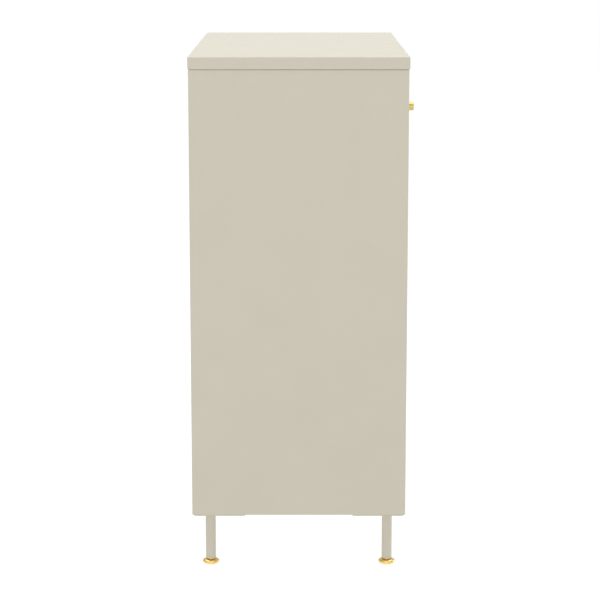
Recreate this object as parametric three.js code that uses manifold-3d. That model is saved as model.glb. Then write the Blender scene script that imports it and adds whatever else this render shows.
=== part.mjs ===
// A filing cabinet in folded sheet steel: two small drawers side by side over two full-width
// file drawers, on four short tube legs with screw-in levelling feet.
// Millimetres. +Z is up, the drawers open towards -Y and X runs across the width. The origin is
// on the ground, at the middle of the box that holds the whole cabinet, knobs included.

import * as THREE from 'three';
import { mergeVertices } from 'three/addons/utils/BufferGeometryUtils.js';
import Module from 'manifold-3d';

const wasm = await Module();
wasm.setup();

// ---- Driving dimensions ----

const TOTAL_HEIGHT = 960;
const BODY_WIDTH = 800;
const BODY_DEPTH = 400;
const BODY_BOTTOM = 103.5;

const SHEET = 1; // thickness of every folded sheet
const FIT = 0.3; // gap left between pieces that touch
const BEND = 1.2; // outside radius of a fold
const CORNER = 1.6; // corner radius of a pan's face

const LID_HEIGHT = 22.3;
const LID_SEAM = 0.3; // shadow gap under the lid
const LID_LIP_SIDE = 1.5; // how far the lid stands proud of the body, on each side
const LID_LIP_FRONT = 1.5;
const LID_LIP_BACK = 1;
const LID_RETURN = 14;

const SIDE_DEPTH = 18; // depth of the side pans, which is the width of the front post
const SIDE_RETURN = 30;
const PAN_RETURN = 10;
const BOTTOM_PAN_DEPTH = 10;
const BACK_PAN_DEPTH = 12;

const FRONT_GAP = 2; // running gap between a drawer front and the body
const FRONT_PITCH_GAP = 3; // gap between two neighbouring fronts
const FRONT_DEPTH = 18;
const FILE_FRONT_HEIGHT = 328;
const SMALL_FRONT_HEIGHT = 152;
const FIRST_FRONT_BOTTOM = 115;
const FRONT_SLOT = 28; // height of the slot left in a front's folded liner, behind the knob

const TRAY_DEPTH = 350;
const TRAY_RISE = 12; // from the bottom of a front to the bottom of its tray
const FILE_TRAY_HEIGHT = 290;
const SMALL_TRAY_HEIGHT = 110;
const TRAY_RETURN = 6;

const RAIL_SETBACK = 20; // from the front plane to the cross rails
const RAIL_DEPTH = 25;
const RAIL_HEIGHT = 22;
const DIVIDER_WIDTH = 32;

const SLIDE_LENGTH = 350;
const SLIDE_SETBACK = 22;
const SLIDE_STEEL = 1.5;
const SLIDE_THICKNESS = 12.7; // three nested members, from the mounting face to the tray
const SLIDE_HEIGHT = 45;
const BALL_ROOM = 3; // gap between two members, where the balls run
const FILE_SLIDE_RISE = 82; // from the bottom of a front to the middle of its slides
const SMALL_SLIDE_RISE = 67;
const BRACKET_WIDTH = 24;
const BRACKET_HEIGHT = 32;
const BRACKET_INSET = 50; // from either end of the slide to the middle of a bracket

const BAR_THICKNESS = 2.5;
const BAR_HEIGHT = 12;
const BAR_SPACING = 330; // between the two bars that a hanging folder's hooks rest on

const KNOB_RADIUS = 8.5;
const KNOB_REACH = 19.7;
const KNOB_NECK_RADIUS = 5;
const KNOB_BASE_RADIUS = 7;

const LEG_RADIUS = 9.5;
const LEG_INSET = 33; // from the body's faces to the leg's axis
const LEG_PLATE = 98;
const LEG_PLATE_THICKNESS = 2;
const LEG_PLATE_INSET = 2;
const LEG_BORE_RADIUS = 8;
const LEG_BOTTOM = 10.6;
const INSERT_HEIGHT = 20; // threaded insert in the leg's lower end
const INSERT_BORE_RADIUS = 5.4;

const FOOT_RADIUS = 15.75;
const FOOT_HEIGHT = 10.3;
const FOOT_WIDEST = 4.4; // height of the disc's widest ring
const FOOT_BASE_RADIUS = 11.5;
const STUD_RADIUS = 5;
const STUD_LENGTH = 40;

const ROUND_STEPS = 20; // sides of a turned piece

// ---- Places worked out from them ----

// The knobs reach further forward than the lid reaches back, so the body sits behind the middle.
const FRONT_Y = (KNOB_REACH - LID_LIP_BACK - BODY_DEPTH) / 2;
const BACK_Y = FRONT_Y + BODY_DEPTH;
const HALF_WIDTH = BODY_WIDTH / 2;
const HALF_OPENING = HALF_WIDTH - SIDE_DEPTH;
const LID_BOTTOM = TOTAL_HEIGHT - LID_HEIGHT;
const BODY_TOP = LID_BOTTOM - LID_SEAM;
const SECOND_FRONT_BOTTOM = FIRST_FRONT_BOTTOM + FILE_FRONT_HEIGHT + FRONT_PITCH_GAP;
const SMALL_FRONT_BOTTOM = SECOND_FRONT_BOTTOM + FILE_FRONT_HEIGHT + FRONT_PITCH_GAP;
const SMALL_FRONT_TOP = SMALL_FRONT_BOTTOM + SMALL_FRONT_HEIGHT;
const TRAY_FRONT_Y = FRONT_Y + FRONT_DEPTH + FIT;
const SIDE_SLIDE_FACE = HALF_OPENING - 2 * FIT; // |x| of the face behind the outer slide members
const DIVIDER_SLIDE_FACE = DIVIDER_WIDTH / 2 + FIT;
const SLIDE_START_Y = FRONT_Y + SLIDE_SETBACK;

// ---- Solids ----

// A box between two corners, given as one pair of limits along each axis, in either order.
function block(xs, ys, zs) {
  const spans = [xs, ys, zs].map(([a, b]) => [Math.min(a, b), Math.max(a, b)]);
  const size = spans.map(([low, high]) => high - low);
  const middle = spans.map(([low, high]) => (low + high) / 2);
  return new THREE.BoxGeometry(...size).translate(...middle);
}

function toSolid(geometry) {
  const bare = geometry.clone();
  bare.deleteAttribute('normal');
  bare.deleteAttribute('uv');
  const merged = mergeVertices(bare);
  return new wasm.Manifold(new wasm.Mesh({
    numProp: 3,
    vertProperties: Float32Array.from(merged.attributes.position.array),
    triVerts: Uint32Array.from(merged.index.array),
  }));
}

function toGeometry(solid) {
  const mesh = solid.getMesh();
  const geometry = new THREE.BufferGeometry();
  geometry.setAttribute('position', new THREE.BufferAttribute(mesh.vertProperties, 3));
  geometry.setIndex(new THREE.BufferAttribute(mesh.triVerts, 1));
  return geometry;
}

function join(first, ...others) {
  return toGeometry(others.reduce((sum, next) => sum.add(toSolid(next)), toSolid(first)));
}

function cut(base, ...tools) {
  return toGeometry(tools.reduce((left, tool) => left.subtract(toSolid(tool)), toSolid(base)));
}

// A block centred on the origin whose corners along Z are rounded by `corner`, and whose edges
// round both end faces are rounded by `bend`.
function softBlock(width, height, depth, corner, bend) {
  const x = width / 2 - corner;
  const y = height / 2 - corner;
  const outline = new THREE.Shape();
  outline.absarc(x, y, corner, 0, Math.PI / 2);
  outline.absarc(-x, y, corner, Math.PI / 2, Math.PI);
  outline.absarc(-x, -y, corner, Math.PI, Math.PI * 1.5);
  outline.absarc(x, -y, corner, Math.PI * 1.5, Math.PI * 2);
  const geometry = new THREE.ExtrudeGeometry(outline, {
    depth: depth - 2 * bend,
    bevelThickness: bend,
    bevelSize: bend,
    bevelOffset: -bend,
    bevelSegments: 2,
    curveSegments: 1,
  });
  return geometry.translate(0, 0, bend - depth / 2);
}

// Turns a pan that looks along +Z so that its closed face looks the way named.
const TURN_TO = {
  top: (geometry) => geometry,
  bottom: (geometry) => geometry.rotateX(Math.PI),
  front: (geometry) => geometry.rotateX(Math.PI / 2),
  back: (geometry) => geometry.rotateX(-Math.PI / 2),
  left: (geometry) => geometry.rotateY(-Math.PI / 2),
  right: (geometry) => geometry.rotateY(Math.PI / 2),
};

// A folded sheet pan that fills the box given: one closed face, four walls and a return lip
// turned inwards round the open side.
function foldedPan(xs, ys, zs, facing, lip) {
  const span = ([a, b]) => Math.abs(b - a);
  const sizes = {
    top: [span(xs), span(ys), span(zs)],
    front: [span(xs), span(zs), span(ys)],
    left: [span(zs), span(ys), span(xs)],
  };
  sizes.bottom = sizes.top;
  sizes.back = sizes.front;
  sizes.right = sizes.left;
  const [width, height, depth] = sizes[facing];
  const skin = 2 * SHEET;
  const outside = softBlock(width, height, depth, CORNER, BEND);
  const inside = softBlock(width - skin, height - skin, depth - skin, CORNER - SHEET, BEND - SHEET);
  const mouthX = width / 2 - lip;
  const mouthY = height / 2 - lip;
  const mouth = block([-mouthX, mouthX], [-mouthY, mouthY], [-depth, 0]);
  const pan = TURN_TO[facing](cut(outside, inside, mouth));
  const middle = ([a, b]) => (a + b) / 2;
  return pan.translate(middle(xs), middle(ys), middle(zs));
}

// An open tray of the same sheet with plain square corners and a return lip round its top.
function squareTray(xs, ys, zs, lip) {
  const shrunk = ([a, b], margin) => [Math.min(a, b) + margin, Math.max(a, b) - margin];
  const floorTop = zs[0] + SHEET;
  const hollow = block(shrunk(xs, SHEET), shrunk(ys, SHEET), [floorTop, zs[1] - SHEET]);
  const mouth = block(shrunk(xs, lip), shrunk(ys, lip), [floorTop, zs[1] + SHEET]);
  return cut(block(xs, ys, zs), hollow, mouth);
}

// A body turned about the Z axis from [radius, height] points, first and last on the axis, or
// closed on itself when its first and last points are the same.
function turned(points) {
  return new THREE.LatheGeometry(points.map(([r, z]) => new THREE.Vector2(r, z)), ROUND_STEPS)
    .rotateX(Math.PI / 2);
}

// Points of a quarter turn or less, round a centre, in the [radius, height] plane.
function arcPoints(centreR, centreZ, radius, fromAngle, toAngle, steps) {
  return Array.from({ length: steps + 1 }, (_, i) => {
    const angle = fromAngle + (toAngle - fromAngle) * i / steps;
    return [centreR + radius * Math.cos(angle), centreZ + radius * Math.sin(angle)];
  });
}

// ---- The assembly ----

const cabinet = new THREE.Group();

const FINISHES = {
  cream: { color: 0xcdc7b5, roughness: 0.55, metalness: 0 },
  gold: { color: 0xd4ae63, roughness: 0.25, metalness: 1 },
  steel: { color: 0xb4b7ba, roughness: 0.4, metalness: 1 },
};

function addPiece(name, geometry, finish) {
  const mesh = new THREE.Mesh(geometry, new THREE.MeshStandardMaterial(FINISHES[finish]));
  mesh.name = name;
  cabinet.add(mesh);
}

// ---- The shell ----

function addShell() {
  const lidX = HALF_WIDTH + LID_LIP_SIDE;
  const lidY = [FRONT_Y - LID_LIP_FRONT, BACK_Y + LID_LIP_BACK];
  const lid = foldedPan([-lidX, lidX], lidY, [LID_BOTTOM, TOTAL_HEIGHT], 'top', LID_RETURN);
  addPiece('lid', lid, 'cream');

  const bodyZ = [BODY_BOTTOM, BODY_TOP];
  for (const [facing, side] of [['left', -1], ['right', 1]]) {
    const xs = [side * HALF_OPENING, side * HALF_WIDTH];
    const pan = foldedPan(xs, [FRONT_Y, BACK_Y], bodyZ, facing, SIDE_RETURN);
    addPiece(`side_panel_${facing}`, pan, 'cream');
  }

  const innerX = [FIT - HALF_OPENING, HALF_OPENING - FIT];
  const bottomTop = BODY_BOTTOM + BOTTOM_PAN_DEPTH;
  const bottom = foldedPan(innerX, [FRONT_Y, BACK_Y], [BODY_BOTTOM, bottomTop], 'bottom', PAN_RETURN);
  addPiece('bottom_panel', bottom, 'cream');

  const backY = [BACK_Y - BACK_PAN_DEPTH, BACK_Y];
  const back = foldedPan(innerX, backY, [bottomTop + FIT, BODY_TOP], 'back', PAN_RETURN);
  addPiece('back_panel', back, 'cream');
}

// ---- Rails and divider inside the front opening ----

// A C-section rail across the opening, open to the rear, centred on a height.
function crossRail(middleZ) {
  const x = HALF_OPENING - FIT;
  const y = [FRONT_Y + RAIL_SETBACK, FRONT_Y + RAIL_SETBACK + RAIL_DEPTH];
  const z = [middleZ - RAIL_HEIGHT / 2, middleZ + RAIL_HEIGHT / 2];
  const hollowY = [y[0] + SHEET, y[1] + SHEET];
  const hollowZ = [z[0] + SHEET, z[1] - SHEET];
  return cut(block([-x, x], y, z), block([-BODY_WIDTH, BODY_WIDTH], hollowY, hollowZ));
}

function addRails() {
  const x = HALF_OPENING - FIT;
  const lipBottom = SMALL_FRONT_TOP + FRONT_GAP;
  const railY = [FRONT_Y, FRONT_Y + RAIL_SETBACK + RAIL_DEPTH];
  const underY = [railY[0] + SHEET, railY[1] - SHEET];
  const under = block([-BODY_WIDTH, BODY_WIDTH], underY, [0, BODY_TOP - SHEET]);
  addPiece('top_front_rail', cut(block([-x, x], railY, [lipBottom, BODY_TOP]), under), 'cream');

  addPiece('upper_cross_rail', crossRail(SMALL_FRONT_BOTTOM - FRONT_PITCH_GAP / 2), 'cream');
  addPiece('middle_cross_rail', crossRail(SECOND_FRONT_BOTTOM - FRONT_PITCH_GAP / 2), 'cream');

  const half = DIVIDER_WIDTH / 2;
  const dividerY = [FRONT_Y + RAIL_SETBACK, BACK_Y - BACK_PAN_DEPTH - FIT];
  const railTop = SMALL_FRONT_BOTTOM - FRONT_PITCH_GAP / 2 + RAIL_HEIGHT / 2;
  const dividerZ = [railTop + FIT, lipBottom - FIT];
  const insideX = [SHEET - half, half - SHEET];
  const inside = block(insideX, [dividerY[0] + SHEET, BACK_Y], [0, TOTAL_HEIGHT]);
  addPiece('centre_divider', cut(block([-half, half], dividerY, dividerZ), inside), 'cream');
}

// ---- Telescopic slides ----

// A channel along Y whose web is at x = `web` and whose open side is at x = `mouth`.
function channel(web, mouth, height, middleZ) {
  const toMouth = Math.sign(mouth - web);
  const ys = [SLIDE_START_Y, SLIDE_START_Y + SLIDE_LENGTH];
  const half = height / 2;
  const body = block([web, mouth], ys, [middleZ - half, middleZ + half]);
  const room = half - SLIDE_STEEL;
  const hollow = block(
    [web + toMouth * SLIDE_STEEL, mouth + toMouth],
    [ys[0] - 1, ys[1] + 1],
    [middleZ - room, middleZ + room],
  );
  return cut(body, hollow);
}

// A square loop of strip that holds an outer member off the side panel.
function bracket(face, wall, middleY, middleZ) {
  const outward = Math.sign(wall - face);
  const half = BRACKET_WIDTH / 2;
  const zs = [middleZ - BRACKET_HEIGHT / 2, middleZ + BRACKET_HEIGHT / 2];
  const root = face - outward * SLIDE_STEEL / 2; // sunk into the member's web, which it is welded to
  const loop = block([root, wall], [middleY - half, middleY + half], zs);
  const hollow = block(
    [face + outward * SLIDE_STEEL, wall - outward * SLIDE_STEEL],
    [middleY - half + SLIDE_STEEL, middleY + half - SLIDE_STEEL],
    [0, TOTAL_HEIGHT],
  );
  return cut(loop, hollow);
}

// The three members of one slide. `face` is the x of the surface behind it and `inward` is the
// direction from there to the tray.
function addSlide(label, face, inward, middleZ, hasBrackets) {
  const reach = (depth) => face + inward * depth;
  const step = SLIDE_STEEL + BALL_ROOM;
  const middleHeight = SLIDE_HEIGHT - 2 * step;
  const innerHeight = middleHeight - 2 * step;

  let outer = channel(face, reach(SLIDE_THICKNESS - 2 * FIT), SLIDE_HEIGHT, middleZ);
  if (hasBrackets) {
    const wall = -inward * (HALF_WIDTH - SHEET - FIT);
    for (const y of [BRACKET_INSET, SLIDE_LENGTH - BRACKET_INSET]) {
      outer = join(outer, bracket(face, wall, SLIDE_START_Y + y, middleZ));
    }
  }
  addPiece(`outer_slide_${label}`, outer, 'steel');

  const middleMouth = reach(SLIDE_THICKNESS - 3 * FIT);
  const middle = channel(reach(SLIDE_STEEL * 2), middleMouth, middleHeight, middleZ);
  addPiece(`middle_slide_${label}`, middle, 'steel');

  const inner = channel(reach(SLIDE_THICKNESS), reach(SLIDE_STEEL * 4), innerHeight, middleZ);
  addPiece(`inner_slide_${label}`, inner, 'steel');
}

// ---- Drawers ----

function knob(x, z) {
  const edge = 1.2; // rounding of the knob's two rims
  const baseDepth = 2;
  const headStart = KNOB_REACH * 0.5;
  const rim = KNOB_RADIUS - edge;
  const profile = [
    [0, FIT],
    [KNOB_BASE_RADIUS, FIT],
    [KNOB_BASE_RADIUS, baseDepth],
    [KNOB_NECK_RADIUS, baseDepth + 2],
    [KNOB_NECK_RADIUS, headStart - 2],
    [rim, headStart],
    ...arcPoints(rim, headStart + edge, edge, -Math.PI / 4, 0, 1),
    ...arcPoints(rim, KNOB_REACH - edge, edge, 0, Math.PI / 2, 3),
    [0, KNOB_REACH],
  ];
  return turned(profile).rotateX(Math.PI / 2).translate(x, FRONT_Y, z);
}

// A bar for hanging folders, lying on the tray's side lips with a hook inside each of them.
function hangingBar(trayX, middleY, trayTop) {
  const ys = [middleY - BAR_THICKNESS / 2, middleY + BAR_THICKNESS / 2];
  const ends = trayX.map((x) => x - Math.sign(x) * SHEET);
  const bar = block(ends, ys, [trayTop + FIT, trayTop + FIT + BAR_HEIGHT]);
  const hooks = trayX.map((x) => {
    const lipEdge = x - Math.sign(x) * (TRAY_RETURN + FIT);
    const hookX = [lipEdge, lipEdge - Math.sign(x) * BAR_HEIGHT];
    return block(hookX, ys, [trayTop - BAR_HEIGHT, trayTop + BAR_HEIGHT / 2]);
  });
  return join(bar, ...hooks);
}

function addDrawer(drawer) {
  const { label, frontX, bottomZ, frontHeight, trayHeight, slideRise, slideFaces } = drawer;
  const frontY = [FRONT_Y, FRONT_Y + FRONT_DEPTH];
  const liner = (frontHeight - FRONT_SLOT) / 2;
  const front = foldedPan(frontX, frontY, [bottomZ, bottomZ + frontHeight], 'front', liner);
  addPiece(`drawer_front_${label}`, front, 'cream');

  const traySpan = slideFaces.map(({ face, inward }) => face + inward * (SLIDE_THICKNESS + FIT));
  const trayY = [TRAY_FRONT_Y, TRAY_FRONT_Y + TRAY_DEPTH];
  const trayBottom = bottomZ + TRAY_RISE;
  const trayTop = trayBottom + trayHeight;
  const tray = squareTray(traySpan, trayY, [trayBottom, trayTop], TRAY_RETURN);
  addPiece(`drawer_tray_${label}`, tray, 'cream');

  const middleX = (frontX[0] + frontX[1]) / 2;
  addPiece(`knob_${label}`, knob(middleX, bottomZ + frontHeight / 2), 'gold');

  for (const { hand, face, inward, hasBrackets } of slideFaces) {
    addSlide(`${label}_${hand}`, face, inward, bottomZ + slideRise, hasBrackets);
  }

  if (drawer.hasBars) {
    const middleY = TRAY_FRONT_Y + TRAY_DEPTH / 2;
    for (const [where, side] of [['front', -1], ['back', 1]]) {
      const bar = hangingBar(traySpan, middleY + side * BAR_SPACING / 2, trayTop);
      addPiece(`hanging_bar_${label}_${where}`, bar, 'steel');
    }
  }
}

function addDrawers() {
  const frontEdge = HALF_OPENING - FRONT_GAP;
  const leftWall = { hand: 'left', face: -SIDE_SLIDE_FACE, inward: 1, hasBrackets: true };
  const rightWall = { hand: 'right', face: SIDE_SLIDE_FACE, inward: -1, hasBrackets: true };
  const dividerLeft = { hand: 'right', face: -DIVIDER_SLIDE_FACE, inward: -1, hasBrackets: false };
  const dividerRight = { hand: 'left', face: DIVIDER_SLIDE_FACE, inward: 1, hasBrackets: false };

  const file = {
    frontX: [-frontEdge, frontEdge],
    frontHeight: FILE_FRONT_HEIGHT,
    trayHeight: FILE_TRAY_HEIGHT,
    slideRise: FILE_SLIDE_RISE,
    slideFaces: [leftWall, rightWall],
    hasBars: true,
  };
  addDrawer({ ...file, label: 'file_lower', bottomZ: FIRST_FRONT_BOTTOM });
  addDrawer({ ...file, label: 'file_upper', bottomZ: SECOND_FRONT_BOTTOM });

  const small = {
    bottomZ: SMALL_FRONT_BOTTOM,
    frontHeight: SMALL_FRONT_HEIGHT,
    trayHeight: SMALL_TRAY_HEIGHT,
    slideRise: SMALL_SLIDE_RISE,
    hasBars: false,
  };
  const meeting = FRONT_PITCH_GAP / 2;
  const leftSpan = [-frontEdge, -meeting];
  const rightSpan = [meeting, frontEdge];
  addDrawer({ ...small, label: 'top_left', frontX: leftSpan, slideFaces: [leftWall, dividerLeft] });
  addDrawer({ ...small, label: 'top_right', frontX: rightSpan, slideFaces: [dividerRight, rightWall] });
}

// ---- Legs and levelling feet ----

// A tube with a threaded insert in its lower end, welded under a square plate.
function leg(x, y, plateX, plateY) {
  const plateTop = BODY_BOTTOM - FIT;
  const plateBottom = plateTop - LEG_PLATE_THICKNESS;
  const insertTop = LEG_BOTTOM + INSERT_HEIGHT;
  const tubeTop = plateBottom + LEG_PLATE_THICKNESS / 2; // sunk into the plate, which it is welded to
  const tube = turned([
    [INSERT_BORE_RADIUS, LEG_BOTTOM],
    [LEG_RADIUS, LEG_BOTTOM],
    [LEG_RADIUS, tubeTop],
    [LEG_BORE_RADIUS, tubeTop],
    [LEG_BORE_RADIUS, insertTop],
    [INSERT_BORE_RADIUS, insertTop],
    [INSERT_BORE_RADIUS, LEG_BOTTOM],
  ]).translate(x, y, 0);
  const edge = LEG_PLATE_THICKNESS / 4;
  const plate = softBlock(LEG_PLATE, LEG_PLATE, LEG_PLATE_THICKNESS, LEG_PLATE_INSET * 2, edge)
    .translate(plateX, plateY, (plateTop + plateBottom) / 2);
  return join(plate, tube);
}

// A domed disc with a threaded stud that screws up into the leg.
function foot(x, y) {
  const shoulder = 9; // radius where the upper round meets the flat under the leg
  const upper = FOOT_HEIGHT - FOOT_WIDEST;
  const lowerRound = [0, 1, 2].map((i) => {
    const angle = -Math.PI / 2 + i * Math.PI / 6;
    const out = (FOOT_RADIUS - FOOT_BASE_RADIUS) * Math.cos(angle);
    return [FOOT_BASE_RADIUS + out, FOOT_WIDEST * (1 + Math.sin(angle))];
  });
  const upperRound = [0, 1, 2, 3].map((i) => {
    const angle = i * Math.PI / 6;
    return [shoulder + (FOOT_RADIUS - shoulder) * Math.cos(angle), FOOT_WIDEST + upper * Math.sin(angle)];
  });
  const profile = [
    [0, 0],
    ...lowerRound,
    ...upperRound,
    [STUD_RADIUS, FOOT_HEIGHT],
    [STUD_RADIUS, FOOT_HEIGHT + STUD_LENGTH - 1],
    [STUD_RADIUS - 1, FOOT_HEIGHT + STUD_LENGTH],
    [0, FOOT_HEIGHT + STUD_LENGTH],
  ];
  return turned(profile).translate(x, y, 0);
}

function addLegs() {
  const places = [['front', FRONT_Y, 1], ['back', BACK_Y, -1]];
  for (const [end, faceY, intoBody] of places) {
    for (const [hand, side] of [['left', -1], ['right', 1]]) {
      const x = side * (HALF_WIDTH - LEG_INSET);
      const y = faceY + intoBody * LEG_INSET;
      const plateReach = LEG_PLATE_INSET + LEG_PLATE / 2;
      const plateX = side * (HALF_WIDTH - plateReach);
      addPiece(`leg_${end}_${hand}`, leg(x, y, plateX, faceY + intoBody * plateReach), 'cream');
      addPiece(`foot_${end}_${hand}`, foot(x, y), 'gold');
    }
  }
}

addShell();
addRails();
addDrawers();
addLegs();

export default cabinet;
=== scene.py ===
"""Looks for the filing cabinet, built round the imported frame.

Sheet-steel shells with soft folds in a satin powder coat, polished gold knobs and feet, zinc
ball-bearing slides and the small hardware that holds it all together. Metres, +Z up, drawers
opening towards -Y.
"""
import math

import bmesh
import bpy
from mathutils import Matrix, Vector


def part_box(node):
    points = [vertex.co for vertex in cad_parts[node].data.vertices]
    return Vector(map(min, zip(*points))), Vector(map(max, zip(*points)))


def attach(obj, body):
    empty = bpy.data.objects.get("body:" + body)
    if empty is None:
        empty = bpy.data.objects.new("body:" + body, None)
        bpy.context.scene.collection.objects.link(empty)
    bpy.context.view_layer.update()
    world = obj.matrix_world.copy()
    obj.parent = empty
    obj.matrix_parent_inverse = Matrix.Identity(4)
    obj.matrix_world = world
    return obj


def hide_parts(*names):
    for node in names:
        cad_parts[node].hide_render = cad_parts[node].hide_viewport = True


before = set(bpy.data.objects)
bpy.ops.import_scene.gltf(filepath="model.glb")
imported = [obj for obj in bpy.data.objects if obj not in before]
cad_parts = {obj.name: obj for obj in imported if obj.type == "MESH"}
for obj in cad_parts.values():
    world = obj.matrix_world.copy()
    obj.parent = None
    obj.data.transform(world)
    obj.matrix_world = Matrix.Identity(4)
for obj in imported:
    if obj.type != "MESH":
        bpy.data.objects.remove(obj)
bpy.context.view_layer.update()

MM = 0.001
X, Y, Z = Vector((1, 0, 0)), Vector((0, 1, 0)), Vector((0, 0, 1))

# ---- Sizes that the frame doesn't give ----

SHEET = 1.0 * MM
FOLD = 1.2 * MM  # outside radius of a fold
CORNER = 1.6 * MM  # corner radius of a pan's face
CORNER_STEPS = 5
FOLD_STEPS = 5
TURN_STEPS = 64  # sides of a turned piece
PIN_STEPS = 24  # sides of a screw head: a multiple of 6, so that its hexagon socket is true
SHARP_ANGLE = math.radians(38)

LID_RETURN = 14 * MM
SIDE_RETURN = 30 * MM
PAN_RETURN = 10 * MM
FRONT_SLOT = 28 * MM  # height of the slot that a drawer front's folded liner leaves
TRAY_RETURN = 6 * MM
OUTER_SLIDE_DEPTH = 12.1 * MM
SLIDE_SHEET = 1.3 * MM
BRACKET_HALF_WIDTH = 12 * MM
BRACKET_HALF_HEIGHT = 16 * MM
BALL_RADIUS = 1.45 * MM
BALL_PITCH = 12 * MM
BALLS_IN_A_ROW = 10
BALL_STEPS = 10  # sides of a ball
BALL_BANDS = 7  # bands of faces from pole to pole
LEG_RADIUS = 9.5 * MM
LEG_BORE = 8.0 * MM
INSERT_BORE = 5.4 * MM
INSERT_HEIGHT = 20 * MM
PLATE_THICKNESS = 2.0 * MM
FOOT_TRAVEL = 12 * MM  # how far a levelling foot screws out

DRAWERS = ("file_lower", "file_upper", "top_left", "top_right")
CORNERS = ("front_left", "front_right", "back_left", "back_right")

BODY_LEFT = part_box("side_panel_left")
BODY_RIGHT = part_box("side_panel_right")
FRONT_Y = BODY_LEFT[0].y
BACK_Y = BODY_LEFT[1].y
HALF_WIDTH = BODY_RIGHT[1].x


# ---- Mesh building ----

class Stock:
    """Vertices and faces gathered for one piece."""

    def __init__(self):
        self.verts = []
        self.faces = []

    def add(self, shape, place=Matrix.Identity(4)):
        verts, faces = shape
        start = len(self.verts)
        self.verts += [place @ Vector(v) for v in verts]
        self.faces += [[start + i for i in face] for face in faces]
        return self

    def piece(self, name, material, body, slot, replaces=(), place=Matrix.Identity(4)):
        """The finished object. place is its own frame, and its vertices are local to it."""
        mesh = bpy.data.meshes.new(name)
        mesh.from_pydata([tuple(v) for v in self.verts], [], self.faces)
        work = bmesh.new()
        work.from_mesh(mesh)
        bmesh.ops.recalc_face_normals(work, faces=work.faces)
        work.to_mesh(mesh)
        work.free()
        mesh.shade_smooth()
        mesh.set_sharp_from_angle(angle=SHARP_ANGLE)
        mesh.materials.append(material)
        obj = bpy.data.objects.new(name, mesh)
        bpy.context.scene.collection.objects.link(obj)
        obj.matrix_world = place
        obj.modifiers.new("flat_faces_stay_flat", "WEIGHTED_NORMAL").keep_sharp = True
        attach(obj, body)
        if replaces:
            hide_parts(*replaces)
        return obj


def loft(rings, closed=False):
    """A skin through rings of points: capped at both ends, or joined end to start if closed."""
    count = len(rings[0])
    verts = [point for ring in rings for point in ring]
    faces = []
    spans = len(rings) if closed else len(rings) - 1
    for r in range(spans):
        low = r * count
        high = (r + 1) % len(rings) * count
        for j in range(count):
            k = (j + 1) % count
            faces.append([low + j, high + j, high + k, low + k])
    if not closed:
        last = (len(rings) - 1) * count
        faces.append(list(range(count)))
        faces.append([last + j for j in reversed(range(count))])
    return verts, faces


def rounded_rectangle(half_width, half_height, corner):
    """Points of a rectangle with round corners, anticlockwise."""
    corner = max(corner, 0.1 * MM)
    points = []
    for quarter, (sx, sy) in enumerate(((1, 1), (-1, 1), (-1, -1), (1, -1))):
        for i in range(CORNER_STEPS + 1):
            angle = math.pi / 2 * (quarter + i / CORNER_STEPS)
            x = sx * (half_width - corner) + corner * math.cos(angle)
            y = sy * (half_height - corner) + corner * math.sin(angle)
            points.append((x, y))
    return points


def circle(radius, height, steps=TURN_STEPS):
    angles = [2 * math.pi * i / steps for i in range(steps)]
    return [(radius * math.cos(a), radius * math.sin(a), height) for a in angles]


def hexagon(across, height, steps=PIN_STEPS):
    """A ring of points along a hexagon of this size across its flats."""
    points = []
    for i in range(steps):
        angle = 2 * math.pi * i / steps
        from_flat = (angle + math.pi / 6) % (math.pi / 3) - math.pi / 6
        radius = across / 2 / math.cos(from_flat)
        turned_by = angle + math.pi / 6
        points.append((radius * math.cos(turned_by), radius * math.sin(turned_by), height))
    return points


def turned(profile, steps=TURN_STEPS, closed=False):
    """A body turned about Z through (radius, height) points, with flat ends unless closed."""
    return loft([circle(radius, height, steps) for radius, height in profile], closed)


def arc(centre_r, centre_z, radius, start, end, steps, squash=1.0):
    """(radius, height) points along an arc, angles in degrees; squash scales its height."""
    points = []
    for i in range(steps + 1):
        angle = math.radians(start + (end - start) * i / steps)
        points.append((centre_r + radius * math.cos(angle), centre_z + squash * radius * math.sin(angle)))
    return points


def aim(axis, at):
    """A matrix that takes local +Z to this axis and the local origin to this point."""
    return Matrix.Translation(at) @ Z.rotation_difference(Vector(axis)).to_matrix().to_4x4()


def middle_of(box):
    return (box[0] + box[1]) / 2


# ---- Folded sheet pans ----

# For each way that a pan's closed face can look: the width, height and outward directions.
PAN_AXES = {
    "top": (X, Y, Z),
    "bottom": (X, -Y, -Z),
    "front": (X, Z, -Y),
    "back": (-X, Z, Y),
    "left": (-Y, Z, -X),
    "right": (Y, Z, X),
}


def fold_profile(depth, lip, stamp):
    """(inset, depth, corner) rings of a pan, from the middle of its face round the lip and back inside.

    stamp is (inset, width, depth, corner) of a panel pressed into the face, or None.
    """
    inner = FOLD - SHEET
    outside, inside = [], []
    if stamp:
        edge, width, sunk, corner = stamp
        for i in range(FOLD_STEPS + 1):
            t = 1 - i / FOLD_STEPS
            level = sunk * (3 * t * t - 2 * t * t * t)
            outside.append((edge + width * t, level, corner - width * t))
            inside.append((edge + width * t, level + SHEET, corner - width * t))
    quarter = [math.pi / 2 * i / FOLD_STEPS for i in range(FOLD_STEPS + 1)]
    for a in quarter:
        outside.append((FOLD - FOLD * math.sin(a), FOLD - FOLD * math.cos(a), None))
        inside.append((FOLD - inner * math.sin(a), FOLD - inner * math.cos(a), None))
    for a in quarter:
        outside.append((FOLD - FOLD * math.cos(a), depth - FOLD + FOLD * math.sin(a), None))
        inside.append((FOLD - inner * math.cos(a), depth - FOLD + inner * math.sin(a), None))
    hem = SHEET * 0.25
    end = [(lip - hem, depth), (lip, depth - hem), (lip, depth - SHEET + hem), (lip - hem, depth - SHEET)]
    outside += [(inset, level, None) for inset, level in end]
    return outside + inside[::-1]


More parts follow.
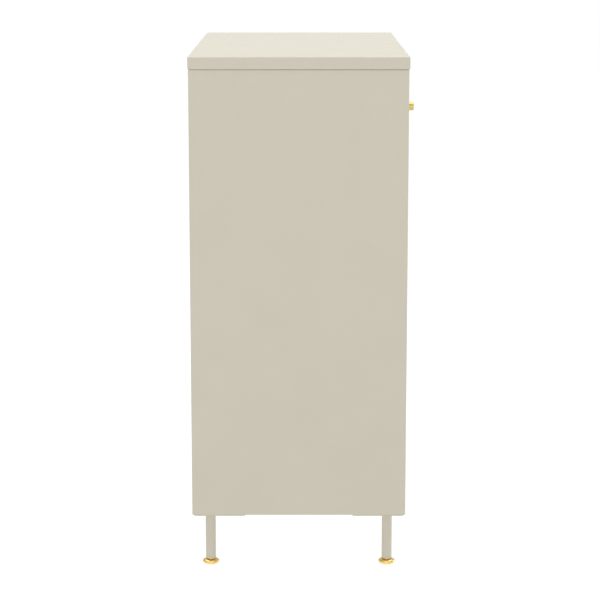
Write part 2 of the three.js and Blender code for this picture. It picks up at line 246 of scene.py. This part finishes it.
def pan(box, facing, lip, stamp=None):
    """A folded sheet pan that fills a CAD node's box, with its return lip turned in all round."""
    low, high = box
    across, upward, outward = PAN_AXES[facing]
    size = high - low
    half_width = abs(size.dot(across)) / 2
    half_height = abs(size.dot(upward)) / 2
    depth = abs(size.dot(outward))
    face = middle_of(box) + outward * (depth / 2)
    rings = []
    for inset, level, corner in fold_profile(depth, lip, stamp):
        radius = CORNER - inset if corner is None else corner
        outline = rounded_rectangle(half_width - inset, half_height - inset, radius)
        rings.append([face + across * a + upward * b - outward * level for a, b in outline])
    return loft(rings)


# ---- Materials ----

class Finish:
    """A Principled material being wired. Textures lie in the piece's own frame, in metres."""

    def __init__(self, name, metallic):
        self.material = bpy.data.materials.new(name)
        self.material.use_nodes = True
        self.tree = self.material.node_tree
        self.shader = self.tree.nodes["Principled BSDF"]
        self.shader.inputs["Metallic"].default_value = metallic
        self.place = self.tree.nodes.new("ShaderNodeTexCoord").outputs["Object"]

    def link(self, source, target):
        self.tree.links.new(source, target)

    def stretched(self, stretch):
        mapping = self.tree.nodes.new("ShaderNodeMapping")
        mapping.inputs["Scale"].default_value = stretch
        self.link(self.place, mapping.inputs["Vector"])
        return mapping.outputs["Vector"]

    def noise(self, scale, detail=2.0, stretch=(1, 1, 1)):
        texture = self.tree.nodes.new("ShaderNodeTexNoise")
        texture.inputs["Scale"].default_value = scale
        texture.inputs["Detail"].default_value = detail
        self.link(self.stretched(stretch), texture.inputs["Vector"])
        return texture.outputs["Fac"]

    def rings(self, spacing):
        """Waves round the local Z axis, this far apart."""
        texture = self.tree.nodes.new("ShaderNodeTexWave")
        texture.wave_type = "RINGS"
        texture.rings_direction = "Z"
        texture.inputs["Scale"].default_value = 2 * math.pi / (20 * spacing)
        texture.inputs["Distortion"].default_value = 0.6
        self.link(self.place, texture.inputs["Vector"])
        return texture.outputs["Fac"]

    def spread(self, factor, low, high):
        """Maps a texture's middle range onto low to high."""
        node = self.tree.nodes.new("ShaderNodeMapRange")
        node.inputs["From Min"].default_value = 0.3
        node.inputs["From Max"].default_value = 0.7
        node.inputs["To Min"].default_value = low
        node.inputs["To Max"].default_value = high
        self.link(factor, node.inputs["Value"])
        return node.outputs["Result"]

    def mix(self, factor, first, second):
        """Blends two colours, each a tuple or a socket."""
        node = self.tree.nodes.new("ShaderNodeMix")
        node.data_type = "RGBA"
        self.link(factor, node.inputs["Factor"])
        for socket, colour in ((node.inputs["A"], first), (node.inputs["B"], second)):
            if isinstance(colour, tuple):
                socket.default_value = (*colour, 1)
            else:
                self.link(colour, socket)
        return node.outputs["Result"]

    def bump(self, height, depth, under=None):
        """Raises a texture by this many metres, on top of another bump if given."""
        node = self.tree.nodes.new("ShaderNodeBump")
        node.inputs["Strength"].default_value = 1.0
        node.inputs["Distance"].default_value = depth
        self.link(height, node.inputs["Height"])
        if under is not None:
            self.link(under, node.inputs["Normal"])
        return node.outputs["Normal"]

    def wire(self, colour=None, roughness=None, normal=None):
        for name, source in (("Base Color", colour), ("Roughness", roughness), ("Normal", normal)):
            if source is not None:
                self.link(source, self.shader.inputs[name])
        return self.material


def powder_coat():
    """Satin cream powder coat: the faint orange peel and mottle of sprayed and baked powder."""
    finish = Finish("cream_powder_coat", metallic=0.0)
    mottle = finish.spread(finish.noise(14, detail=3), 0.0, 1.0)
    tone = finish.mix(mottle, (0.574, 0.533, 0.435), (0.588, 0.547, 0.448))
    speck = finish.spread(finish.noise(1400, detail=1), 0.0, 0.35)
    colour = finish.mix(speck, tone, (0.548, 0.512, 0.425))
    roughness = finish.spread(finish.noise(60, detail=4), 0.40, 0.50)
    peel = finish.bump(finish.noise(420, detail=1), 0.012 * MM)
    grain = finish.bump(finish.noise(1500, detail=2), 0.004 * MM, under=peel)
    finish.shader.inputs["Specular IOR Level"].default_value = 0.45
    return finish.wire(colour, roughness, grain)


def polished_gold(name, turning, polish, dark, light):
    """Lacquered brass.

    turning is the spacing of the lathe's fine lines, and polish the span of roughness.
    """
    finish = Finish(name, metallic=1.0)
    cloud = finish.spread(finish.noise(220, detail=3), 0.0, 1.0)
    colour = finish.mix(cloud, dark, light)
    roughness = finish.spread(finish.noise(900, detail=3), *polish)
    lines = finish.bump(finish.rings(turning), 0.0025 * MM)
    dimples = finish.bump(finish.noise(700, detail=2), 0.004 * MM, under=lines)
    finish.shader.inputs["Coat Weight"].default_value = 0.25
    finish.shader.inputs["Coat Roughness"].default_value = 0.12
    return finish.wire(colour, roughness, dimples)


def zinc_steel(name, dark, light, along):
    """Zinc-plated strip, drawn out along one axis: along shrinks the grain in that direction."""
    dull = (0.40, 0.39, 0.36)
    finish = Finish(name, metallic=1.0)
    streaks = finish.noise(1100, detail=3, stretch=along)
    bands = finish.noise(160, detail=2, stretch=along)
    stain = finish.spread(finish.noise(45, detail=3), 0.0, 0.35)
    drawn = finish.mix(finish.spread(bands, 0.0, 1.0), dark, light)
    colour = finish.mix(stain, drawn, dull)
    roughness = finish.spread(streaks, 0.24, 0.40)
    return finish.wire(colour, roughness, finish.bump(streaks, 0.008 * MM))


def nickel_plate():
    finish = Finish("nickel_plate", metallic=1.0)
    colour = finish.mix(finish.noise(500, detail=3), (0.50, 0.49, 0.47), (0.68, 0.67, 0.64))
    roughness = finish.spread(finish.noise(1800, detail=2), 0.20, 0.36)
    return finish.wire(colour, roughness, finish.bump(finish.noise(2600, detail=2), 0.003 * MM))


def moulded_rubber():
    finish = Finish("moulded_rubber", metallic=0.0)
    colour = finish.mix(finish.noise(800, detail=3), (0.018, 0.018, 0.019), (0.045, 0.044, 0.043))
    roughness = finish.spread(finish.noise(1500, detail=2), 0.62, 0.82)
    return finish.wire(colour, roughness, finish.bump(finish.noise(2400, detail=2), 0.02 * MM))


PAINT = powder_coat()
# The knob's gold is a darker copy of the foot's gold: painted shade that tones down the bright highlights
# the lamps leave on the knob.
KNOB_GOLD_SHADED = polished_gold("knob_gold_shaded", 0.35 * MM, (0.36, 0.46), (0.68, 0.52, 0.18), (0.74, 0.57, 0.22))
FOOT_GOLD = polished_gold("foot_gold", 0.6 * MM, (0.17, 0.30), (0.88, 0.63, 0.21), (0.94, 0.69, 0.26))
SLIDE_ZINC = zinc_steel("slide_zinc", (0.44, 0.445, 0.45), (0.53, 0.535, 0.54), (1, 0.02, 1))
BAR_ZINC = zinc_steel("bar_zinc", (0.40, 0.405, 0.41), (0.50, 0.505, 0.51), (0.02, 1, 1))
NICKEL = nickel_plate()
RUBBER = moulded_rubber()


# ---- The camera, the light and the floor ----

def add_camera():
    """Looks down at the left side through a long lens, with no lens shift."""
    distance = 3.7  # from the left side panel
    height = 1.207
    aside = -2.3 * MM  # from the middle of the side panel
    dip = 0.185  # radians below level
    camera = bpy.data.objects.new("camera", bpy.data.cameras.new("camera"))
    camera.data.lens = 122.6  # mm, on film 36 mm wide
    camera.data.clip_start = 0.05
    camera.data.clip_end = 60
    camera.location = (-HALF_WIDTH - distance, (FRONT_Y + BACK_Y) / 2 + aside, height)
    camera.rotation_euler = (math.pi / 2 - dip, 0, -math.pi / 2)
    bpy.context.scene.collection.objects.link(camera)
    bpy.context.scene.camera = camera


def add_softbox(name, at, size, power, tint):
    """A soft rectangle of light that looks at the cabinet and doesn't show in the picture itself."""
    light = bpy.data.lights.new(name, "AREA")
    light.shape = "RECTANGLE"
    light.size, light.size_y = size
    light.energy = power
    light.color = tint
    obj = bpy.data.objects.new(name, light)
    bpy.context.scene.collection.objects.link(obj)
    obj.visible_camera = False
    target = Vector((0, 0, 0.5))
    obj.location = at
    obj.rotation_euler = (target - Vector(at)).to_track_quat("-Z", "Y").to_euler()


def add_surroundings():
    """White behind the cabinet; the room that lights it is a dimmer grey, so that metal has contrast."""
    world = bpy.data.worlds.new("studio")
    world.use_nodes = True
    tree = world.node_tree
    room = tree.nodes["Background"]
    room.inputs["Color"].default_value = (1, 1, 1, 1)
    room.inputs["Strength"].default_value = 0.60
    paper = tree.nodes.new("ShaderNodeBackground")
    paper.inputs["Color"].default_value = (1, 1, 1, 1)
    seen = tree.nodes.new("ShaderNodeLightPath")
    either = tree.nodes.new("ShaderNodeMixShader")
    tree.links.new(seen.outputs["Is Camera Ray"], either.inputs["Fac"])
    tree.links.new(room.outputs["Background"], either.inputs[1])
    tree.links.new(paper.outputs["Background"], either.inputs[2])
    tree.links.new(either.outputs["Shader"], tree.nodes["World Output"].inputs["Surface"])
    bpy.context.scene.world = world


def add_floor():
    """A wide sheet of pale paper that glows a little, as an evenly lit studio floor does."""
    reach = 12
    mesh = bpy.data.meshes.new("floor")
    corners = [(-reach, -reach, 0), (reach, -reach, 0), (reach, reach, 0), (-reach, reach, 0)]
    mesh.from_pydata(corners, [], [(0, 1, 2, 3)])
    floor = bpy.data.objects.new("floor", mesh)
    bpy.context.scene.collection.objects.link(floor)
    # It lies just below the feet's longest reach, so that they show when screwed out.
    clearance = 0.3 * MM
    floor.location.z = -FOOT_TRAVEL - clearance
    finish = Finish("studio_floor", metallic=0.0)
    tone = finish.mix(finish.noise(3, detail=2), (0.14, 0.14, 0.14), (0.16, 0.16, 0.16))
    finish.shader.inputs["Roughness"].default_value = 0.9
    finish.shader.inputs["Specular IOR Level"].default_value = 0.1
    finish.shader.inputs["Emission Color"].default_value = (1, 1, 1, 1)
    finish.shader.inputs["Emission Strength"].default_value = 0.92
    mesh.materials.append(finish.wire(colour=tone))


def add_studio():
    bpy.context.scene.view_settings.view_transform = "Standard"
    add_surroundings()
    add_softbox("top_softbox", (0.3, 0, 3.0), (4.2, 4.2), 86, (0.96, 1.0, 1.01))
    add_softbox("side_softbox", (-4.2, 0.3, 0.9), (3.0, 1.7), 20, (1, 1, 1))
    add_softbox("front_softbox", (0.7, -2.8, 0.8), (1.0, 1.0), 15, (1, 1, 1))
    add_floor()


add_camera()
add_studio()


# ---- Pieces ----

def add_screw(stock, at, axis, radius):
    """A button head with a hexagon socket, sitting on a surface that looks along axis."""
    height = radius * 0.55
    socket = radius * 0.85
    rings = [
        hexagon(socket, height * 0.35),
        hexagon(socket, height * 0.97),
        circle(radius * 0.66, height, PIN_STEPS),
        circle(radius * 0.84, height * 0.86, PIN_STEPS),
        circle(radius * 0.95, height * 0.55, PIN_STEPS),
        circle(radius, height * 0.18, PIN_STEPS),
        circle(radius, 0, PIN_STEPS),
    ]
    half_step = Matrix.Rotation(math.pi / PIN_STEPS, 4, "Z")
    stock.add(loft(rings), aim(axis, at) @ half_step)


def add_shells():
    """The lid, sides, back and bottom: pans with true folds in place of the plain CAD ones."""
    shells = (
        ("lid", "top", LID_RETURN, None),
        ("side_panel_left", "left", SIDE_RETURN, None),
        ("side_panel_right", "right", SIDE_RETURN, None),
        ("bottom_panel", "bottom", PAN_RETURN, None),
        ("back_panel", "back", PAN_RETURN, (46 * MM, 9 * MM, 2.2 * MM, 26 * MM)),
    )
    for node, facing, lip, stamp in shells:
        shape = pan(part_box(node), facing, lip, stamp)
        Stock().add(shape).piece(f"{node}_shell", PAINT, "cabinet", "cream_paint", replaces=[node])


def add_drawer_shells():
    for label in DRAWERS:
        body = f"drawer_{label}"
        front, tray = f"drawer_front_{label}", f"drawer_tray_{label}"
        low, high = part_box(front)
        front_pan = pan((low, high), "front", (high.z - low.z - FRONT_SLOT) / 2)
        Stock().add(front_pan).piece(f"{front}_shell", PAINT, body, "cream_paint", replaces=[front])
        tray_pan = pan(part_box(tray), "bottom", TRAY_RETURN)
        Stock().add(tray_pan).piece(f"{tray}_shell", PAINT, body, "cream_paint", replaces=[tray])


def add_knobs():
    """A solid cylinder on a short waisted neck, turned from bar."""
    for label in DRAWERS:
        node = f"knob_{label}"
        low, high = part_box(node)
        radius = (high.x - low.x) / 2
        reach = high.y - low.y
        edge = 0.9 * MM
        neck = radius * 0.58
        head = reach * 0.5
        profile = [(radius - edge - 1.6 * MM, reach - 0.25 * MM)]
        profile += [(radius - edge - 1.2 * MM, reach)]
        profile += arc(radius - edge, reach - edge, edge, 90, 0, 5)
        profile += arc(radius - edge, head + edge, edge, 0, -90, 5)
        profile += arc(neck + 2 * MM, head - 2 * MM, 2 * MM, 90, 180, 5)
        profile += arc(neck + 1.6 * MM, 3.4 * MM, 1.6 * MM, 180, 270, 5)
        profile += [(radius * 0.82, 1.8 * MM), (radius * 0.86, 1.5 * MM), (radius * 0.86, 0)]
        centre = middle_of((low, high))
        place = aim(-Y, (centre.x, high.y, centre.z))
        Stock().add(turned(profile)).piece(
            f"{node}_turned", KNOB_GOLD_SHADED, f"drawer_{label}", "gold_metal", replaces=[node], place=place)


def foot_profile(top):
    """(radius, height) points of a levelling foot from its stud's tip down to its base."""
    widest = 15.75 * MM
    waist = 4.4 * MM  # height of the widest ring
    shoulder = 9.0 * MM
    base = 11.5 * MM
    collar = 6.4 * MM
    crown = 8.6 * MM
    thread_out, thread_in, pitch = 5.0 * MM, 4.3 * MM, 1.5 * MM
    seat = 10.3 * MM
    profile = [(thread_in - 0.8 * MM, top), (thread_in, top - 0.8 * MM)]
    turns = int((top - seat - 2 * MM) / pitch)
    for i in range(turns):
        z = top - 1 * MM - i * pitch
        profile += [(thread_in, z), (thread_out, z - pitch * 0.45), (thread_out, z - pitch * 0.6)]
    profile += [(thread_in, seat + 0.1 * MM), (collar - 0.3 * MM, seat), (collar, seat - 0.3 * MM)]
    profile += [(collar, crown + 0.2 * MM)]
    for a in (math.radians(10 * i) for i in range(10)):
        radius = shoulder + (widest - shoulder) * math.sin(a)
        profile.append((radius, waist + (crown - waist) * math.cos(a)))
    for a in (math.radians(10 * i) for i in range(1, 10)):
        radius = base + (widest - base) * math.cos(a)
        profile.append((radius, waist - waist * math.sin(a)))
    return profile


def add_feet():
    for corner in CORNERS:
        node = f"foot_{corner}"
        low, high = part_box(node)
        centre = middle_of((low, high))
        place = Matrix.Translation((centre.x, centre.y, 0))
        shape = turned(foot_profile(high.z))
        Stock().add(shape).piece(
            f"{node}_turned", FOOT_GOLD, f"levelling_foot_{corner}", "gold_metal",
            replaces=[node], place=place)


def leg_tube(bottom, plate_bottom):
    """The section of a leg's tube: a rolled lower rim, a threaded insert, and a weld bead at the plate."""
    rim = 0.5 * MM
    bead = 3 * MM
    into_plate = plate_bottom + 0.5 * MM
    insert_top = bottom + INSERT_HEIGHT
    tube = [(INSERT_BORE, bottom + rim), (INSERT_BORE + rim, bottom), (LEG_RADIUS - rim, bottom)]
    tube += arc(LEG_RADIUS - rim, bottom + rim, rim, -90, 0, 3)[1:]
    tube += [(LEG_RADIUS, plate_bottom - bead)]
    tube += arc(LEG_RADIUS + bead, plate_bottom - bead, bead, 180, 90, 5)[1:]
    tube += [(LEG_RADIUS + bead, into_plate), (LEG_BORE, into_plate)]
    tube += [(LEG_BORE, insert_top), (INSERT_BORE, insert_top)]
    return turned(tube, closed=True)


def leg_plate(centre, half, bottom, top):
    """A square plate with round corners and eased edges."""
    eased = 0.5 * MM
    levels = ((eased, top), (0, top - eased), (0, bottom + eased), (eased, bottom))
    rings = []
    for inset, level in levels:
        outline = rounded_rectangle(half - inset, half - inset, 5 * MM)
        rings.append([(centre.x + a, centre.y + b, level) for a, b in outline])
    return loft(rings)


def add_legs():
    """Each leg is a tube welded to its plate, which is bolted at the corners that the tube leaves free."""
    bolt_inset = 11 * MM
    tube_room = 16 * MM  # a bolt nearer than this to the leg's axis would meet the tube
    bolts = Stock()
    for corner in CORNERS:
        node = f"leg_{corner}"
        low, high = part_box(node)
        foot = middle_of(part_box(f"foot_{corner}"))
        centre = middle_of((low, high))
        half = (high.x - low.x) / 2
        plate_bottom = high.z - PLATE_THICKNESS
        stock = Stock().add(leg_tube(low.z, plate_bottom), Matrix.Translation((foot.x, foot.y, 0)))
        stock.add(leg_plate(centre, half, plate_bottom, high.z))
        stock.piece(f"{node}_welded", PAINT, "cabinet", "cream_paint", replaces=[node])
        reach = half - bolt_inset
        for side_x, side_y in ((1, 1), (-1, 1), (-1, -1), (1, -1)):
            at = Vector((centre.x + side_x * reach, centre.y + side_y * reach, plate_bottom))
            if (at.xy - foot.xy).length > tube_room:
                add_screw(bolts, at, -Z, 4.6 * MM)
    bolts.piece("leg_plate_bolts", NICKEL, "cabinet", "fastener_steel")


def filleted(points, radius, steps=4):
    """An open path with its inner corners rounded off."""
    path = [points[0]]
    for before, here, after in zip(points, points[1:], points[2:]):
        back = (before - here).normalized()
        ahead = (after - here).normalized()
        half_angle = back.angle(ahead) / 2
        reach = radius / math.tan(half_angle)
        centre = here + (back + ahead).normalized() * (radius / math.sin(half_angle))
        start = (here + back * reach - centre).normalized()
        end = (here + ahead * reach - centre).normalized()
        for i in range(steps + 1):
            path.append(centre + start.slerp(end, i / steps) * radius)
    return path + [points[-1]]


def strip_outline(path, thickness):
    """The closed outline of a strip of this thickness bent along a path."""
    left, right = [], []
    for i, point in enumerate(path):
        before = path[max(i - 1, 0)]
        after = path[min(i + 1, len(path) - 1)]
        along = (after - before).normalized()
        across = Vector((-along.y, along.x)) * (thickness / 2)
        left.append(point + across)
        right.append(point - across)
    return left + right[::-1]


def c_section(web_x, inward, depth, half_height, middle_z, lip):
    """(x, z) outline of a rolled channel: web at web_x, open towards inward, rims turned in by lip."""
    half = SLIDE_SHEET / 2
    corners = [
        (depth - half, half_height - lip),
        (depth - half, half_height - half),
        (half, half_height - half),
    ]
    if lip == 0:
        corners = corners[1:]
    corners += [(d, -z) for d, z in reversed(corners)]
    path = filleted([Vector(c) for c in corners], 1.6 * MM)
    return [(web_x + inward * d, middle_z + z) for d, z in strip_outline(path, SLIDE_SHEET)]


def extruded(outline, start, end):
    """An (x, z) outline drawn out along Y."""
    return loft([[(x, y, z) for x, z in outline] for y in (start, end)])


def square_loop(low, high, wall):
    """A short square tube standing along Z, for a slide's bracket."""
    centre = (low + high) / 2
    half = (high - low) / 2
    rings = []
    for inset, level in ((0, low.z), (0, high.z), (wall, high.z), (wall, low.z)):
        outline = rounded_rectangle(half.x - inset, half.y - inset, 2.2 * MM - inset)
        rings.append([(centre.x + a, centre.y + b, level) for a, b in outline])
    return loft(rings, closed=True)


def ball():
    tilts = [math.pi * i / BALL_BANDS for i in range(1, BALL_BANDS)]
    rings = []
    for tilt in tilts:
        rings.append(circle(BALL_RADIUS * math.sin(tilt), BALL_RADIUS * math.cos(tilt), BALL_STEPS))
    return loft(rings)


def add_ball_rows(stock, x, rows_z, start_y):
    """Rows of balls in their races, with the thin cage strip that spaces them."""
    half_width = 1.9 * MM
    half_thickness = 0.3 * MM
    end_y = start_y + (BALLS_IN_A_ROW - 0.5) * BALL_PITCH
    for z in rows_z:
        for i in range(BALLS_IN_A_ROW):
            stock.add(ball(), Matrix.Translation((x, start_y + i * BALL_PITCH, z)))
        left, right = x - half_width, x + half_width
        low, high = z - half_thickness, z + half_thickness
        cage = [(left, low), (right, low), (right, high), (left, high)]
        stock.add(extruded(cage, start_y - BALL_PITCH / 2, end_y))


def half_height_of(box):
    return (box[1].z - box[0].z) / 2


def add_outer_member(name, box, near, inward, span, z):
    """The channel fixed to the body, with two square brackets where it stands off the wall."""
    web = box[near].x - inward * OUTER_SLIDE_DEPTH
    wall = box[1 - near].x
    stock = Stock()
    section = c_section(web, inward, OUTER_SLIDE_DEPTH, half_height_of(box), z, 3.4 * MM)
    stock.add(extruded(section, *span))
    if abs(wall - web) > 1 * MM:
        bracket_inset = 50 * MM
        for y in (span[0] + bracket_inset, span[1] - bracket_inset):
            low = Vector((min(web, wall), y - BRACKET_HALF_WIDTH, z - BRACKET_HALF_HEIGHT))
            high = Vector((max(web, wall), y + BRACKET_HALF_WIDTH, z + BRACKET_HALF_HEIGHT))
            stock.add(square_loop(low, high, 1.5 * MM))
    stock.piece(
        f"outer_slide_{name}_rolled", SLIDE_ZINC, "cabinet", "slide_steel",
        replaces=[f"outer_slide_{name}"])


def add_plain_member(node, box, web, facing, span, z, body):
    """A middle or inner member: a channel with straight rims."""
    section = c_section(web, facing, box[1].x - box[0].x, half_height_of(box), z, 0)
    Stock().add(extruded(section, *span)).piece(
        f"{node}_rolled", SLIDE_ZINC, body, "slide_steel", replaces=[node])


def add_slides():
    """Telescopic slides: three rolled channels, ball cages that ride with the middle one, and screws."""
    for label in DRAWERS:
        tray_x = middle_of(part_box(f"drawer_tray_{label}")).x
        balls = Stock()
        rivets = Stock()
        for hand in ("left", "right"):
            name = f"{label}_{hand}"
            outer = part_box(f"outer_slide_{name}")
            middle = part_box(f"middle_slide_{name}")
            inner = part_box(f"inner_slide_{name}")
            inward = 1 if tray_x > middle_of(middle).x else -1
            near = 1 if inward > 0 else 0  # which corner of a box lies on the tray's side
            front, back = middle[0].y, middle[1].y
            span = (front, back)
            z = middle_of(middle).z

            add_outer_member(name, outer, near, inward, span, z)
            add_plain_member(
                f"middle_slide_{name}", middle, middle[1 - near].x, inward, span, z,
                f"middle_slides_{label}")
            add_plain_member(
                f"inner_slide_{name}", inner, inner[near].x, -inward, span, z, f"drawer_{label}")

            outer_face = inner[near].x - inward * SLIDE_SHEET
            for y in (front + 40 * MM, front + 165 * MM, back - 60 * MM):
                add_screw(rivets, (outer_face, y, z), X * -inward, 3.2 * MM)

            outer_race = (half_height_of(outer) - SLIDE_SHEET + half_height_of(middle)) / 2
            inner_race = (half_height_of(middle) - SLIDE_SHEET + half_height_of(inner)) / 2
            ball_x = middle_of(middle).x
            add_ball_rows(balls, ball_x, (z - outer_race, z + outer_race), back - 130 * MM)
            add_ball_rows(balls, ball_x, (z - inner_race, z + inner_race), front + 18 * MM)

            tray_wall = inner[near].x + inward * (0.3 * MM + SHEET)
            for y in (front + 30 * MM, (front + back) / 2, back - 30 * MM):
                add_screw(rivets, (tray_wall, y, z), X * inward, 3.6 * MM)
        balls.piece(f"slide_balls_{label}", NICKEL, f"middle_slides_{label}", "fastener_steel")
        rivets.piece(f"slide_screws_{label}", NICKEL, f"drawer_{label}", "fastener_steel")


def finish_cad(node, material, edge):
    """A CAD node whose shape is right: its own material, and edges eased as a sheared strip's are."""
    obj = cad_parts[node]
    obj.data.materials.clear()
    obj.data.materials.append(material)
    ease = obj.modifiers.new("eased_edges", "BEVEL")
    ease.width = edge
    ease.segments = 2
    ease.limit_method = "ANGLE"
    ease.angle_limit = math.radians(50)
    ease.harden_normals = True


def add_rails():
    for node in ("top_front_rail", "upper_cross_rail", "middle_cross_rail", "centre_divider"):
        finish_cad(node, PAINT, 0.35 * MM)
    for label in ("file_lower", "file_upper"):
        for end in ("front", "back"):
            finish_cad(f"hanging_bar_{label}_{end}", BAR_ZINC, 0.5 * MM)


def add_back_screws():
    """Screws through the back panel into the body's corner folds and the divider."""
    low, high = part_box("back_panel")
    inset = 9 * MM
    stock = Stock()
    columns = [low.x + inset, (low.x + high.x) / 2, high.x - inset]
    third = (high.z - low.z) / 3
    rows = [low.z + inset, low.z + third, high.z - third, high.z - inset]
    for x in columns:
        for z in rows:
            on_edge = x != columns[1] or z in (rows[0], rows[-1])
            if on_edge:
                add_screw(stock, (x, high.y, z), Y, 2.8 * MM)
    stock.piece("back_panel_screws", NICKEL, "cabinet", "fastener_steel")


def add_drawer_hardware():
    """Inside each drawer: the knob's screw, and the screws that hold the front to the tray."""
    for label in DRAWERS:
        low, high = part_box(f"drawer_tray_{label}")
        knob = middle_of(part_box(f"knob_{label}"))
        wall_y = low.y + SHEET
        stock = Stock()
        add_screw(stock, (knob.x, wall_y, knob.z), Y, 5.0 * MM)
        edge = 40 * MM
        for x in (low.x + edge, high.x - edge):
            for z in (low.z + edge * 0.6, high.z - edge * 0.7):
                add_screw(stock, (x, wall_y, z), Y, 3.8 * MM)
        stock.piece(f"front_screws_{label}", NICKEL, f"drawer_{label}", "fastener_steel")


def add_bumpers():
    """Rubber dots on the front faces of the cross rails, in pairs."""
    dome = [(2.2 * MM, 1.5 * MM), (3.2 * MM, 1.2 * MM), (3.6 * MM, 0.5 * MM), (3.6 * MM, 0)]
    stock = Stock()
    for node in ("upper_cross_rail", "middle_cross_rail"):
        low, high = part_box(node)
        z = (low.z + high.z) / 2
        for x in (low.x + 60 * MM, high.x - 60 * MM):
            for offset in (-6 * MM, 6 * MM):
                dot = turned(dome, 32)
                stock.add(dot, aim(-Y, (x, low.y, z + offset)))
    stock.piece("front_bumpers", RUBBER, "cabinet", "bumper_rubber")


add_shells()
add_drawer_shells()
add_knobs()
add_feet()
add_legs()
add_slides()
add_rails()
add_back_screws()
add_drawer_hardware()
add_bumpers()
